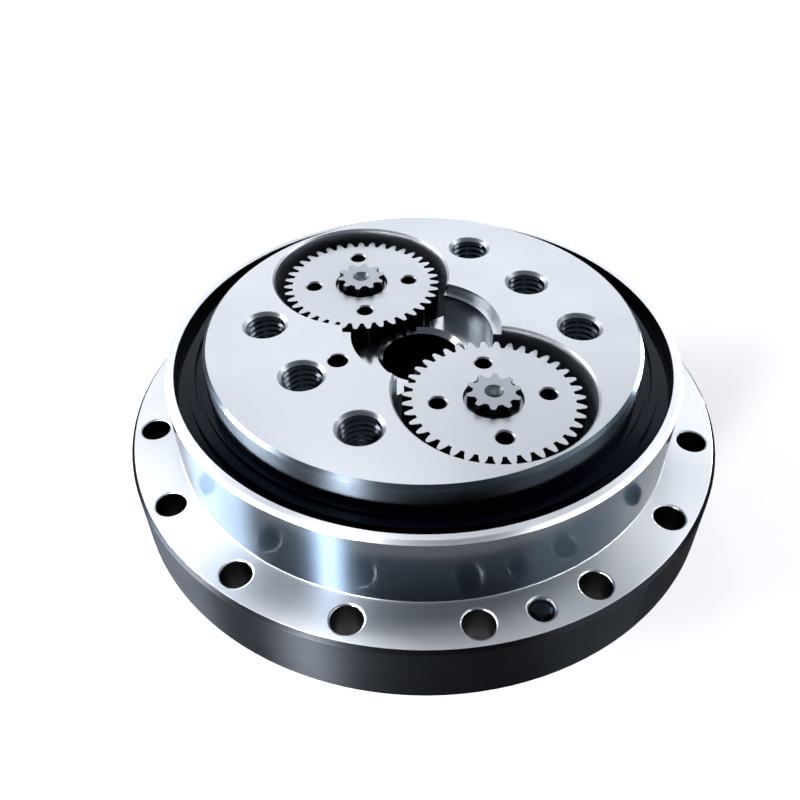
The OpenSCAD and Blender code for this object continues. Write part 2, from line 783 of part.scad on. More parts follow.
// Centre holes in both ends of a crankshaft: a drilled core and a 60 degree mouth
centre_r = 1.25;
centre_mouth_r = 2.8;
centre_cone_h = (centre_mouth_r - centre_r) / tan(30);
centre_depth = 2 * centre_cone_h;

module crankshaft(which) {
    split_z = disc_upper_z - disc_gap / 2;
    cone_top = output_z + taper_w;
    color(BRIGHT) on_crank(which) difference() {
        union() {
            translate([0, 0, crank_z]) cylinder(h = hold_t - crank_z, r = taper_bore_r - seat_gap);
            translate([0, 0, hold_t]) cylinder(h = output_z - hold_t, r = neck_r);
            translate([-throw, 0, disc_lower_z]) cylinder(h = split_z - disc_lower_z, r = eccentric_r);
            translate([throw, 0, split_z])
                cylinder(h = disc_upper_z + disc_t - split_z, r = eccentric_r);
            translate([0, 0, output_z]) cylinder(h = taper_w, r = taper_bore_r - seat_gap);
            translate([0, 0, cone_top]) cylinder(h = gear_z - cone_top, d = gear_seat_d);
            translate([0, 0, gear_z]) rotate(spline_turn) linear_extrude(crank_top - gear_z)
                polygon(spline_points(spline_teeth, spline_root_d / 2, spline_d / 2));
        }
        tube(gear_clip_in, spline_d, gear_clip_z - seat_gap, gear_clip_t + 2 * seat_gap);
        for (end = [[crank_top, 1], [crank_z, -1]]) translate([0, 0, end[0]]) scale([1, 1, end[1]]) {
            translate([0, 0, -centre_depth]) cylinder(h = centre_depth + cut, r = centre_r, $fn = 32);
            translate([0, 0, -centre_cone_h])
                cylinder(h = centre_cone_h + cut, r1 = centre_r,
                         r2 = centre_mouth_r + cut * tan(30), $fn = 48);
        }
    }
}

module spur_gear(which) {
    color(BRIGHT) on_crank(which) translate([0, 0, gear_z]) difference() {
        rotate(gear_turn) linear_extrude(gear_t) polygon(gear_points(gear_teeth, gear_module, 4));
        translate([0, 0, -cut]) rotate(spline_turn) linear_extrude(gear_t + 2 * cut)
            polygon(spline_points(spline_teeth, spline_root_d / 2 + seat_gap, spline_d / 2 + seat_gap));
        translate([0, 0, gear_t - gear_sink_h]) cylinder(h = gear_sink_h + cut, d = gear_sink_d);
        for (k = [0:3]) rotate(gear_hole_turn + 90 * k) translate([gear_hole_r, 0, 0])
            drill(gear_hole_d / 2, 0, gear_t, bevel / 2, bevel / 2);
    }
}

// A snap ring in the spline's groove
module gear_clip(which) {
    color(DARK_STEEL) on_crank(which) translate([0, 0, gear_clip_z]) linear_extrude(gear_clip_t)
        difference() {
            circle(gear_clip_d / 2);
            circle(gear_clip_in + seat_gap);
            polygon([[0, 0], polar(gear_clip_d, 20), polar(gear_clip_d, 45)]);
        }
}

// Two washers keep the needle cages off the tapered bearings
module crank_washers(which) {
    washer_r = disc_bore_r - 0.8;
    color(STEEL) on_crank(which) {
        tube(neck_r + seat_gap, washer_r, hold_t + seat_gap, crank_washer_t);
        tube(neck_r + seat_gap, washer_r, output_z - seat_gap - crank_washer_t, crank_washer_t);
    }
}

// ---------------------------------------------------------- crank bearings

// Its children at a bearing's middle, with the rollers' large ends towards the discs
module at_taper(which, place) {
    middle = place == "lower" ? hold_t - taper_w / 2 : output_z + taper_w / 2;
    on_crank(which) translate([0, 0, middle]) scale([1, 1, place == "lower" ? 1 : -1]) children();
}

module taper_cup(which, place) {
    half = taper_cup_w / 2;
    turn = taper_angle + taper_spread;
    color(STEEL) at_taper(which, place) rotate_extrude() polygon([
        [taper_track_r(turn, -half) , -half + seat_gap],
        [taper_outer_r - seat_gap, -half + seat_gap],
        [taper_outer_r - seat_gap, half - seat_gap],
        [taper_track_r(turn, half), half - seat_gap]
    ]);
}

module taper_cone(which, place) {
    half = taper_w / 2;
    turn = taper_angle - taper_spread;
    rib_z = taper_roller_l / 2 + 0.75;
    small_rib_z = -taper_roller_l / 2 - 0.9;
    color(STEEL) at_taper(which, place) rotate_extrude() polygon([
        [taper_bore_r, -half],
        [taper_track_r(turn, small_rib_z) + 0.6, -half],
        [taper_track_r(turn, small_rib_z) + 0.6, small_rib_z],
        [taper_track_r(turn, small_rib_z), small_rib_z],
        [taper_track_r(turn, rib_z), rib_z],
        [taper_track_r(turn, rib_z) + 0.8, rib_z],
        [taper_track_r(turn, rib_z) + 0.8, half - seat_gap],
        [taper_bore_r, half - seat_gap]
    ]);
}

// One tapered roller, grown by extra, along the slope of the bearing
module taper_roller(extra) {
    half = taper_roller_l / 2;
    taper = tan(taper_spread);
    translate([taper_pitch_r, 0, 0]) rotate([0, taper_angle, 0])
        translate([0, 0, -half - extra])
            cylinder(h = taper_roller_l + 2 * extra,
                     r1 = taper_roller_d / 2 - half * taper + extra,
                     r2 = taper_roller_d / 2 + half * taper + extra, $fn = 32);
}

module taper_rollers(which, place) {
    color(BRIGHT) at_taper(which, place)
        for (k = [0:taper_rollers - 1]) rotate(k * 360 / taper_rollers) taper_roller(-roll_gap);
}

module taper_cage(which, place) {
    half = taper_roller_l / 2 + 1.1;
    wall = 0.45;
    color(BRONZE) at_taper(which, place) difference() {
        rotate_extrude() polygon([
            [taper_track_r(taper_angle, -half) - wall, -half],
            [taper_track_r(taper_angle, -half) + wall, -half],
            [taper_track_r(taper_angle, half) + wall, half],
            [taper_track_r(taper_angle, half) - wall, half]
        ]);
        for (k = [0:taper_rollers - 1]) rotate(k * 360 / taper_rollers) taper_roller(cage_gap);
    }
}

// Its children at the middle of an eccentric's bearing
module at_needles(which, place) {
    side = place == "lower" ? -1 : 1;
    z = place == "lower" ? disc_lower_z : disc_upper_z;
    on_crank(which) translate([side * throw, 0, z + disc_t / 2]) children();
}

module needles(which, place) {
    color(BRIGHT) at_needles(which, place) for (k = [0:needle_count - 1])
        rotate(k * 360 / needle_count) translate([needle_pitch_r, 0, 0])
            cylinder(h = needle_l, r = needle_d / 2 - roll_gap, center = true, $fn = 32);
}

module needle_cage(which, place) {
    color(BRONZE) at_needles(which, place) difference() {
        tube(needle_pitch_r - needle_cage_wall / 2, needle_pitch_r + needle_cage_wall / 2,
             -needle_cage_h / 2, needle_cage_h);
        for (k = [0:needle_count - 1]) rotate(k * 360 / needle_count)
            translate([needle_pitch_r, 0, 0])
                cube([3 * needle_cage_wall, needle_d + 2 * cage_gap, needle_l + 2 * cage_gap],
                     center = true);
    }
}

// ---------------------------------------------------------------- assembly

case();
ring_pins();
oil_seal();
garter_spring();
outer_race(main_lower_z, 1);  // outer_race_lower
outer_race(main_upper_z, -1);  // outer_race_upper
output_shaft();
hold_flange();
clamp_bolts();
clamp_washers();
locating_pins();
inner_race(main_lower_z, -1);  // inner_race_lower
inner_race(main_upper_z, 1);  // inner_race_upper
taper_cup("a", "lower");  // taper_cup_lower_a
taper_cup("b", "lower");  // taper_cup_lower_b
taper_cup("a", "upper");  // taper_cup_upper_a
taper_cup("b", "upper");  // taper_cup_upper_b
bearing_clip("a");  // bearing_clip_a
bearing_clip("b");  // bearing_clip_b
main_balls_at(main_lower_z);  // main_balls_lower
main_cage_at(main_lower_z);  // main_cage_lower
main_balls_at(main_upper_z);  // main_balls_upper
main_cage_at(main_upper_z);  // main_cage_upper
cycloid_disc(disc_lower_z, -1);  // disc_lower
cycloid_disc(disc_upper_z, 1);  // disc_upper
crankshaft("a");  // crankshaft_a
crankshaft("b");  // crankshaft_b
spur_gear("a");  // spur_gear_a
spur_gear("b");  // spur_gear_b
gear_clip("a");  // gear_clip_a
gear_clip("b");  // gear_clip_b
crank_washers("a");  // crank_washers_a
crank_washers("b");  // crank_washers_b
taper_cone("a", "lower");  // taper_cone_lower_a
taper_cone("b", "lower");  // taper_cone_lower_b
taper_cone("a", "upper");  // taper_cone_upper_a
taper_cone("b", "upper");  // taper_cone_upper_b
taper_rollers("a", "lower");  // taper_rollers_lower_a
taper_rollers("b", "lower");  // taper_rollers_lower_b
taper_rollers("a", "upper");  // taper_rollers_upper_a
taper_rollers("b", "upper");  // taper_rollers_upper_b
taper_cage("a", "lower");  // taper_cage_lower_a
taper_cage("b", "lower");  // taper_cage_lower_b
taper_cage("a", "upper");  // taper_cage_upper_a
taper_cage("b", "upper");  // taper_cage_upper_b
needles("a", "lower");  // needles_lower_a
needles("b", "lower");  // needles_lower_b
needles("a", "upper");  // needles_upper_a
needles("b", "upper");  // needles_upper_b
needle_cage("a", "lower");  // needle_cage_lower_a
needle_cage("b", "lower");  // needle_cage_lower_b
needle_cage("a", "upper");  // needle_cage_upper_a
needle_cage("b", "upper");  // needle_cage_upper_b
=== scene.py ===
"""Looks of a cycloidal reducer with two crankshafts.

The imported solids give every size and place. The steel pieces that the eye meets are
copied from their solids, merged and given broken edges; the six output holes and the
jacking holes get their threads; every other piece keeps its solid and gets its finish.
All lengths are in metres, in the frame of the solids.
"""

from __future__ import annotations

import logging
import math
from collections.abc import Callable, Sequence
from dataclasses import dataclass
from enum import Enum, IntEnum

import bmesh
import bpy
from mathutils import Matrix, Vector


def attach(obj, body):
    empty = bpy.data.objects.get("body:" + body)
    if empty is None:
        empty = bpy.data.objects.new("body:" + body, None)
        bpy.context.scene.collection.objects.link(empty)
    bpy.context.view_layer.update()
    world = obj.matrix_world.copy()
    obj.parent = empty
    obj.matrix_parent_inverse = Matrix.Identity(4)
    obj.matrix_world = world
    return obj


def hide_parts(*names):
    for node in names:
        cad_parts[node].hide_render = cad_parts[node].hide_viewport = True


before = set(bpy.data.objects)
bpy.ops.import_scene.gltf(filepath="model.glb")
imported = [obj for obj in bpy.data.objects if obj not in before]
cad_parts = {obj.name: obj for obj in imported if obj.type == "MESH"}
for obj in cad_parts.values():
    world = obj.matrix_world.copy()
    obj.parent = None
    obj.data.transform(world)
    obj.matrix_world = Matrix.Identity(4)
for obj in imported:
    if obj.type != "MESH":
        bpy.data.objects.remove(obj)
log = logging.getLogger("reducer")

MM = 0.001
# the crankshafts' distance from the axis, and the height of the output face
CRANK_R = 36 * MM
OUTPUT_FACE_Z = 76 * MM
# vertices closer than this are one
MERGE = 1e-7
# smooth noise rarely leaves this range
NOISE_RANGE = (0.3, 0.7)
# a face is level if its normal's z is past the first, and upright if it is under the second
LEVEL = 0.95
UPRIGHT = 0.3
# how far a face's middle may be from the wall or floor that it is said to lie on
ON_WALL = 0.5 * MM
# preserving oil, as a clear coat
OIL_IOR = 1.52
OIL_ROUGHNESS = 0.14


# ------------------------------------------------------------------ small tools


def linear(code: str) -> tuple[float, float, float, float]:
    """Turns an sRGB hex colour into a linear one.

    Args:
        code: The colour, such as "#C8CACC".

    Returns:
        Red, green, blue and an alpha of 1, linear.
    """
    parts = [int(code[i : i + 2], 16) / 255 for i in (1, 3, 5)]
    red, green, blue = (
        p / 12.92 if p <= 0.04045 else ((p + 0.055) / 1.055) ** 2.4 for p in parts
    )
    return (red, green, blue, 1.0)


def add_node(
    tree: bpy.types.NodeTree,
    kind: str,
    settings: dict[str, object] | None = None,
    **inputs: object,
) -> bpy.types.Node:
    """Adds a node, sets it and links it.

    Args:
        tree: The node tree.
        kind: The node's type name, such as "ShaderNodeBump".
        settings: Properties of the node itself.
        **inputs: Values or output sockets by input name, with spaces as underscores,
            or by number as _0, _1 and so on.

    Returns:
        The new node.
    """
    node = tree.nodes.new(kind)
    for name, value in (settings or {}).items():
        setattr(node, name, value)
    for name, value in inputs.items():
        key = int(name[1:]) if name[1:].isdigit() else name.replace("_", " ")
        socket = node.inputs[key]
        if isinstance(value, bpy.types.NodeSocket):
            tree.links.new(value, socket)
        else:
            socket.default_value = value
    return node


class Shine(Enum):
    """How a steel surface was finished: on a lathe, or ground, honed or lapped."""

    TURNED = "turned"
    GROUND = "ground"


# --------------------------------------------------------------------- finishes


@dataclass(frozen=True)
class SteelFinish:
    """Bare alloy steel, cut on a lathe or a grinder.

    A cutting tool leaves fine rings round the axis, so highlights stretch across them.
    The ring is the spacing of the marks and the patch the size of the uneven stains
    that handling leaves. Grazing is the colour of reflections at a low angle and oil
    the share of the surface that preserving oil covers.
    """

    name: str
    colour: str
    roughness: float
    shine: Shine
    ring: float = 0.35 * MM
    ring_depth: float = 0.9e-6
    patch: float = 25 * MM
    unevenness: float = 0.12
    stretch: float = 0.0
    grazing: str = "#FFFFFF"
    oil: float = 0.0

    def make(self) -> bpy.types.Material:
        """Builds the material.

        Returns:
            The material, with its marks centred on the reducer's axis.
        """
        material = bpy.data.materials.new(self.name)
        material.use_nodes = True
        tree = material.node_tree
        tree.nodes.clear()
        place = add_node(tree, "ShaderNodeTexCoord").outputs["Object"]
        shader = add_node(tree, "ShaderNodeBsdfPrincipled")
        shader.inputs["Base Color"].default_value = linear(self.colour)
        shader.inputs["Metallic"].default_value = 1.0
        shader.inputs["Specular Tint"].default_value = linear(self.grazing)
        shader.inputs["Coat Weight"].default_value = self.oil
        shader.inputs["Coat IOR"].default_value = OIL_IOR
        shader.inputs["Coat Roughness"].default_value = OIL_ROUGHNESS
        if self.shine is Shine.TURNED:
            # feed marks run round the axis, coarser than the real 0.1 mm so that they show
            split = add_node(tree, "ShaderNodeSeparateXYZ", Vector=place)
            level = add_node(
                tree, "ShaderNodeCombineXYZ", X=split.outputs["X"], Y=split.outputs["Y"]
            ).outputs["Vector"]
            radius = add_node(
                tree, "ShaderNodeVectorMath", {"operation": "LENGTH"}, Vector=level
            ).outputs["Value"]
            rings = add_node(
                tree, "ShaderNodeCombineXYZ", X=radius, Y=split.outputs["Z"]
            ).outputs["Vector"]
            marks = add_node(
                tree,
                "ShaderNodeTexNoise",
                {"noise_dimensions": "2D"},
                Vector=rings,
                Scale=1 / self.ring,
                Detail=1.0,
            ).outputs["Fac"]
        else:
            marks = add_node(
                tree,
                "ShaderNodeTexNoise",
                Vector=place,
                Scale=1 / self.ring,
                Detail=2.0,
            ).outputs["Fac"]
        bump = add_node(
            tree, "ShaderNodeBump", Height=marks, Distance=self.ring_depth, Strength=1.0
        )
        # handling leaves the sheen a little uneven, in patches
        patches = add_node(
            tree, "ShaderNodeTexNoise", Vector=place, Scale=1 / self.patch, Detail=3.0
        ).outputs["Fac"]
        spread = add_node(
            tree,
            "ShaderNodeMapRange",
            Value=patches,
            From_Min=NOISE_RANGE[0],
            From_Max=NOISE_RANGE[1],
            To_Min=self.roughness * (1 - self.unevenness),
            To_Max=self.roughness * (1 + self.unevenness),
        )
        tree.links.new(spread.outputs["Result"], shader.inputs["Roughness"])
        tree.links.new(bump.outputs["Normal"], shader.inputs["Normal"])
        if self.stretch > 0:
            shader.inputs["Anisotropic"].default_value = self.stretch
            # a quarter turn lays the long way of a highlight across the rings
            shader.inputs["Anisotropic Rotation"].default_value = 0.25
            tangent = add_node(tree, "ShaderNodeTangent", {"direction_type": "RADIAL", "axis": "Z"})
            tree.links.new(tangent.outputs["Tangent"], shader.inputs["Tangent"])
        output = add_node(tree, "ShaderNodeOutputMaterial", Surface=shader.outputs["BSDF"])
        output.is_active_output = True
        return material


@dataclass(frozen=True)
class PlainFinish:
    """An even finish with a fine grain: oxide, rubber or brass.

    The gloss is the strength of reflections and the tint their colour.
    """

    name: str
    colour: str
    roughness: float
    metallic: float
    grain: float = 0.3 * MM
    grain_depth: float = 2e-6
    gloss: float = 0.5
    tint: str = "#FFFFFF"

    def make(self) -> bpy.types.Material:
        """Builds the material.

        Returns:
            The material.
        """
        material = bpy.data.materials.new(self.name)
        material.use_nodes = True
        tree = material.node_tree
        tree.nodes.clear()
        place = add_node(tree, "ShaderNodeTexCoord")
        grain = add_node(
            tree,
            "ShaderNodeTexNoise",
            Vector=place.outputs["Object"],
            Scale=1 / self.grain,
            Detail=2.0,
        ).outputs["Fac"]
        bump = add_node(
            tree, "ShaderNodeBump", Height=grain, Distance=self.grain_depth, Strength=1.0
        )
        shader = add_node(tree, "ShaderNodeBsdfPrincipled", Normal=bump.outputs["Normal"])
        shader.inputs["Base Color"].default_value = linear(self.colour)
        shader.inputs["Metallic"].default_value = self.metallic
        shader.inputs["Roughness"].default_value = self.roughness
        shader.inputs["Specular IOR Level"].default_value = self.gloss
        shader.inputs["Specular Tint"].default_value = linear(self.tint)
        add_node(tree, "ShaderNodeOutputMaterial", Surface=shader.outputs["BSDF"])
        return material


@dataclass(frozen=True)
class Finishes:
    """Every finish of the reducer, built once and shared."""

    # case steel, face-turned and then lapped: bright, with faint rings
    turned_face: bpy.types.Material
    # the same steel on the boss, its colour darkened as painted dark reflection, under
    # preserving oil whose film mirrors the flange and its holes softly; highlights are upright
    # streaks
    painted_dark_boss_wall: bpy.types.Material
    # the flange's rim, its colour nearly black as painted dark reflection, with duller streaks
    painted_black_rim_wall: bpy.types.Material
    # the output collar's wall, honed for the seal: colour darkened as painted dark reflection, with
    # narrower streaks
    painted_dark_collar_wall: bpy.types.Material
    # surface-ground output and hold faces: even, bright and matt
    ground_face: bpy.types.Material
    # the middle hollow, milled and honed: nearly a mirror, so half of it is dark
    milled_hollow: bpy.types.Material
    # drilled and bored walls deep in the part and the gear pockets' floor: near-black colour as
    # painted shade
    painted_shade_hollow: bpy.types.Material
    # the milled walls of the gear pockets: colour lifted pale as painted light where the gears shade
    # them
    painted_light_pocket_wall: bpy.types.Material
    # cut threads: colour darkened as painted shade in the holes, with flanks that glint
    thread: bpy.types.Material
    # hardened gear steel, ground flat: a pale, soft sheen
    gear_face: bpy.types.Material
    # cut flanks of the teeth and splines: colour darkened as painted shade on their upright sides,
    # so the teeth stand out
    tooth: bpy.types.Material
    # the crankshafts' hardened steel, ground: a little greyer than the gears
    shaft_end: bpy.types.Material
    # races, balls, rollers, pins and washers of bearing steel, lapped to a mirror
    bearing: bpy.types.Material
    # the discs' hardened steel, ground on every side: mid grey with a soft sheen
    disc: bpy.types.Material
    # spring steel of the clips in the gears' sinks: bare and pale
    clip: bpy.types.Material
    # screws, their washers and the hold flange's clips, blackened against rust
    black: bpy.types.Material
    # cages machined from brass: warm and dull
    brass: bpy.types.Material
    # nitrile rubber, wet with oil: blue-black, with a faint cold gleam
    rubber: bpy.types.Material

    @staticmethod
    def build() -> "Finishes":
        """Returns all finishes as Blender materials."""
        return Finishes(
            turned_face=SteelFinish(
                "face-turned bright steel", "#E3E6EA", 0.42, Shine.TURNED, stretch=0.9
            ).make(),
            # colour darkened as painted dark reflection on the boss wall
            painted_dark_boss_wall=SteelFinish(
                "turned steel wall",
                "#2B343E",
                0.38,
                Shine.TURNED,
                stretch=1.0,
                grazing="#B6B6B6",
                oil=0.8,
            ).make(),
            # colour nearly black as painted dark reflection on the flange's rim
            painted_black_rim_wall=SteelFinish(
                "turned steel wall, painted near-black reflection",
                "#1C1E21",
                0.44,
                Shine.TURNED,
                stretch=0.87,
                grazing="#9C9C9C",
            ).make(),
            # colour darkened as painted dark reflection on the collar wall
            painted_dark_collar_wall=SteelFinish(
                "turned and honed steel, painted dark reflection",
                "#535C66",
                0.28,
                Shine.TURNED,
                ring_depth=0.1e-6,
                stretch=0.85,
                grazing="#B6B6B6",
            ).make(),
            ground_face=SteelFinish(
                "surface-ground steel", "#C2C6CB", 0.34, Shine.GROUND
            ).make(),
            milled_hollow=SteelFinish(
                "milled and honed steel", "#B6BBC1", 0.18, Shine.GROUND
            ).make(),
            # near-black colour as painted shade in holes, bores and the pockets' floor
            painted_shade_hollow=SteelFinish(
                "drilled steel, painted shade", "#131519", 0.34, Shine.GROUND
            ).make(),
            # colour lifted pale as painted light on the shaded pocket walls
            painted_light_pocket_wall=SteelFinish(
                "milled steel, painted light", "#CDD4DC", 0.4, Shine.GROUND
            ).make(),
            # colour darkened as painted shade inside the tapped holes
            thread=SteelFinish("cut thread, painted shade", "#5A6169", 0.18, Shine.GROUND).make(),
            gear_face=SteelFinish(
                "hardened ground gear steel", "#BDC1C6", 0.4, Shine.GROUND
            ).make(),
            # upright sides of the same gear steel, darkened as painted shade
            tooth=SteelFinish("cut tooth flank, painted shade", "#2F343A", 0.3, Shine.GROUND).make(),
            shaft_end=SteelFinish(
                "hardened crankshaft steel", "#999EA5", 0.3, Shine.GROUND
            ).make(),
            bearing=SteelFinish(
                "polished bearing steel", "#C9CCD1", 0.12, Shine.GROUND
            ).make(),
            disc=SteelFinish("hardened ground disc steel", "#9DA1A8", 0.28, Shine.GROUND).make(),
            black=PlainFinish("black-oxide steel", "#1B1D20", 0.38, metallic=1.0).make(),
            clip=SteelFinish("spring steel clip", "#9AA2AC", 0.4, Shine.GROUND).make(),
            brass=PlainFinish("machined cage brass", "#B8934A", 0.3, metallic=1.0).make(),
            rubber=PlainFinish(
                "oiled nitrile rubber",
                "#050913",
                0.1,
                metallic=0.0,
                grain=0.6 * MM,
                grain_depth=3e-6,
                gloss=0.15,
                tint="#8FA6C8",
            ).make(),
        )


# ----------------------------------------------------------------- piece makers


def merged_copy(node: str, flatness: float) -> bmesh.types.BMesh:
    """Copies a node's mesh and merges its loose triangles into whole faces.

    Args:
        node: The node's name.
        flatness: Neighbouring faces within this many degrees become one.

    Returns:
        A new bmesh.
    """
    mesh = bmesh.new()
    mesh.from_mesh(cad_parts[node].data)
    bmesh.ops.remove_doubles(mesh, verts=mesh.verts, dist=MERGE)
    bmesh.ops.dissolve_limit(
        mesh, angle_limit=math.radians(flatness), verts=mesh.verts, edges=mesh.edges
    )
    return mesh


def break_edges(mesh: bmesh.types.BMesh, width: float, sharp: float) -> None:
    """Rounds every edge that is sharper than an angle.

    Args:
        mesh: The mesh.
        width: The width of the broken edge.
        sharp: The angle in degrees.
    """
    limit = math.radians(sharp)
    edges = [e for e in mesh.edges if e.is_manifold and e.calc_face_angle(0.0) > limit]
    bmesh.ops.bevel(
        mesh,
        geom=edges,
        offset=width,
        offset_type="OFFSET",
        segments=2,
        profile=0.5,
        affect="EDGES",
        clamp_overlap=True,
        material=-1,
    )


def finish_piece(
    mesh: bmesh.types.BMesh,
    name: str,
    body: str,
    slot: str,
    materials: list[bpy.types.Material],
    smooth_angle: float = 40.0,
) -> bpy.types.Object:
    """Turns a bmesh into a finished piece on a body.

    Args:
        mesh: The bmesh, which is freed.
        name: The piece's name.
        body: The body that it rides on.
        slot: The record's material slot; not used.
        materials: The materials, in the order of the faces' material numbers.
        smooth_angle: Edges sharper than this many degrees stay sharp.

    Returns:
        The new object.
    """
    data = bpy.data.meshes.new(name)
    for face in mesh.faces:
        face.smooth = True
    mesh.to_mesh(data)
    mesh.free()
    data.set_sharp_from_angle(angle=math.radians(smooth_angle))
    for material in materials:
        data.materials.append(material)
    piece = bpy.data.objects.new(name, data)
    bpy.context.scene.collection.objects.link(piece)
    weighted = piece.modifiers.new("even faces", "WEIGHTED_NORMAL")
    weighted.keep_sharp = True
    weighted.weight = 80
    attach(piece, body)
    log.info("%s: %d faces, on %s", name, len(data.polygons), body)
    return piece


@dataclass(frozen=True)
class Rework:
    """A solid that a finer copy replaces, with merged faces and broken edges."""

    node: str
    name: str
    body: str
    slot: str
    edge: float
    sharp: float = 32.0
    flatness: float = 0.6

    def build(
        self,
        materials: list[bpy.types.Material],
        surface: Callable[[bmesh.types.BMFace], int] | None = None,
        part: Callable[[bmesh.types.BMesh], None] | None = None,
    ) -> None:
        """Builds the copy.

        Args:
            materials: The finishes, in the order of their numbers.
            surface: Says which finish a face has, if there are several.
            part: Parts faces that take two finishes.
        """
        mesh = merged_copy(self.node, self.flatness)
        if part:
            part(mesh)
        break_edges(mesh, self.edge, self.sharp)
        if surface:
            mesh.normal_update()
            for face in mesh.faces:
                face.material_index = surface(face)
        piece = finish_piece(mesh, self.name, self.body, self.slot, materials)
        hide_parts(self.node)


def dress(node: str, material: bpy.types.Material) -> None:
    """Gives a node its finish.

    Args:
        node: The node's name.
        material: The finish.
    """
    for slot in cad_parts[node].material_slots:
        slot.material = material
    log.info("%s keeps its solid, in %s", node, material.name)


# -------------------------------------------------------------------- assemblies


@dataclass
class InnerThread:
    """The thread of a tapped hole, standing in from its core wall.

    The crest's two ends and the root's start are shares of the pitch. The thread fades
    out over the runout, where the countersink cuts it.
    """

    core_r: float
    pitch: float
    height: float
    top: float
    length: float
    steps: int = 28
    runout: float = 1.2 * MM
    crest_from: float = 0.32
    crest_to: float = 0.5
    root_from: float = 0.82
    smooth_angle: float = 30.0

    def build(self, mesh: bmesh.types.BMesh, x: float, y: float) -> None:
        """Adds one thread to a mesh.

        Args:
            mesh: The mesh that takes it.
            x: The hole's place.
            y: The hole's place.
        """
        turns = int(self.length / self.pitch)
        crest = self.core_r - self.height
        rise = [
            (self.core_r, 0.0),
            (crest, self.crest_from),
            (crest, self.crest_to),
            (self.core_r, self.root_from),
            (self.core_r, 1.0),
        ]
        verts = [
            mesh.verts.new((x + r, y, self.top - share * self.pitch)) for r, share in rise
        ]
        edges = [mesh.edges.new(pair) for pair in zip(verts, verts[1:])]
        bmesh.ops.spin(
            mesh,
            geom=verts + edges,
            cent=(x, y, 0),
            axis=(0, 0, 1),
            dvec=(0, 0, -self.pitch / self.steps),
            angle=2 * math.pi * turns,
            steps=self.steps * turns,
            use_merge=False,
            use_duplicate=False,
        )
        # the countersink cuts the first turn away
        for vert in mesh.verts:
            away = Vector((vert.co.x - x, vert.co.y - y))
            if away.length > self.core_r + MM:
                continue
            depth = self.top - vert.co.z
            if depth < self.runout:
                keep = max(0.0, depth / self.runout)
                r = self.core_r - (self.core_r - away.length) * keep
                vert.co.x = x + away.x * r / away.length
                vert.co.y = y + away.y * r / away.length

    def build_all(
        self,
        holes: Sequence[tuple[float, float]],
        name: str,
        body: str,
        slot: str,
        finish: bpy.types.Material,
    ) -> None:
        """Builds the same thread in several holes, as one piece.

        Args:
            holes: The places of the holes.
            name: The piece's name.
            body: The body that it rides on.
            slot: The record's material slot, passed on; not used.
            finish: The thread's finish.
        """
        mesh = bmesh.new()
        for x, y in holes:
            self.build(mesh, x, y)
        bmesh.ops.remove_doubles(mesh, verts=mesh.verts, dist=MERGE)
        bmesh.ops.reverse_faces(mesh, faces=mesh.faces)
        finish_piece(mesh, name, body, slot, [finish], self.smooth_angle)


class CaseFace(IntEnum):
    """The finishes of the case, in the order of its materials."""

    TURNED = 0
    BOSS = 1
    RIM = 2
    HOLLOW = 3


class OutputFace(IntEnum):
    """The finishes of the output shaft, in the order of its materials."""

    GROUND = 0
    COLLAR = 1
    MIDDLE = 2
    DARK = 3
    POCKET = 4


class CrankFace(IntEnum):
    """The finishes of a crankshaft or its gear, in the order of their materials."""

    GROUND = 0
    FLANK = 1
    CENTRE = 2


@dataclass
class Case:
    """The flanged case with its pins, races and seal."""

    finishes: Finishes
    jack_turns: tuple[float, float] = (-103.8, 76.2)
    bolt_circle_r: float = 87.5 * MM
    edge: float = 0.18 * MM
    seal_edge: float = 0.3 * MM
    boss_r: float = 80 * MM
    pilot_inset: float = 2 * MM
    rim_outset: float = 14 * MM
    flange_top: float = 45.1 * MM
    flange_bottom: float = 23.2 * MM
    jack_core_r: float = 3.4 * MM
    jack_pitch: float = 1.25 * MM
    jack_height: float = 0.5 * MM
    jack_sink: float = 0.6 * MM
    jack_length: float = 20 * MM
    jack_steps: int = 20

    def build(self) -> None:
        """Builds and dresses the case and what stays with it."""
        # the boss, rim and hollow finishes carry painted dark reflection and painted shade
        Rework("case", "flanged_case", "case", "turned_steel", self.edge).build(
            [
                self.finishes.turned_face,
                self.finishes.painted_dark_boss_wall,
                self.finishes.painted_black_rim_wall,
                self.finishes.painted_shade_hollow,
            ],
            self.surface,
        )
        self.threads()
        for node in ("ring_pins", "outer_race_lower", "outer_race_upper", "garter_spring"):
            dress(node, self.finishes.bearing)
        Rework("oil_seal", "lip_seal", "case", "seal_rubber", self.seal_edge).build(
            [self.finishes.rubber]
        )

    def surface(self, face: bmesh.types.BMFace) -> CaseFace:
        """Says which finish a face of the case has.

        Args:
            face: The face.

        Returns:
            The finish: the rim takes the flange's outer bevels too, the boss the
            lower pilot, and every other bevel is turned.
        """
        centre = face.calc_center_median()
        radius = Vector((centre.x, centre.y)).length
        on_rim = radius > self.boss_r + self.rim_outset
        if abs(face.normal.z) > (LEVEL if on_rim else UPRIGHT):
            return CaseFace.TURNED
        if on_rim:
            return CaseFace.RIM
        if abs(radius - self.boss_r) < ON_WALL and centre.z > self.flange_top:
            return CaseFace.BOSS
        if radius > self.boss_r - self.pilot_inset and centre.z < self.flange_bottom:
            return CaseFace.BOSS
        return CaseFace.HOLLOW

    def threads(self) -> None:
        """Builds the threads of the two jacking holes."""
        thread = InnerThread(
            core_r=self.jack_core_r,
            pitch=self.jack_pitch,
            height=self.jack_height,
            top=self.flange_top - self.jack_sink,
            length=self.jack_length,
            steps=self.jack_steps,
        )
        angles = [math.radians(turn) for turn in self.jack_turns]
        holes = [
            (self.bolt_circle_r * math.cos(a), self.bolt_circle_r * math.sin(a)) for a in angles
        ]
        thread.build_all(holes, "jack_threads", "case", "turned_steel", self.finishes.thread)


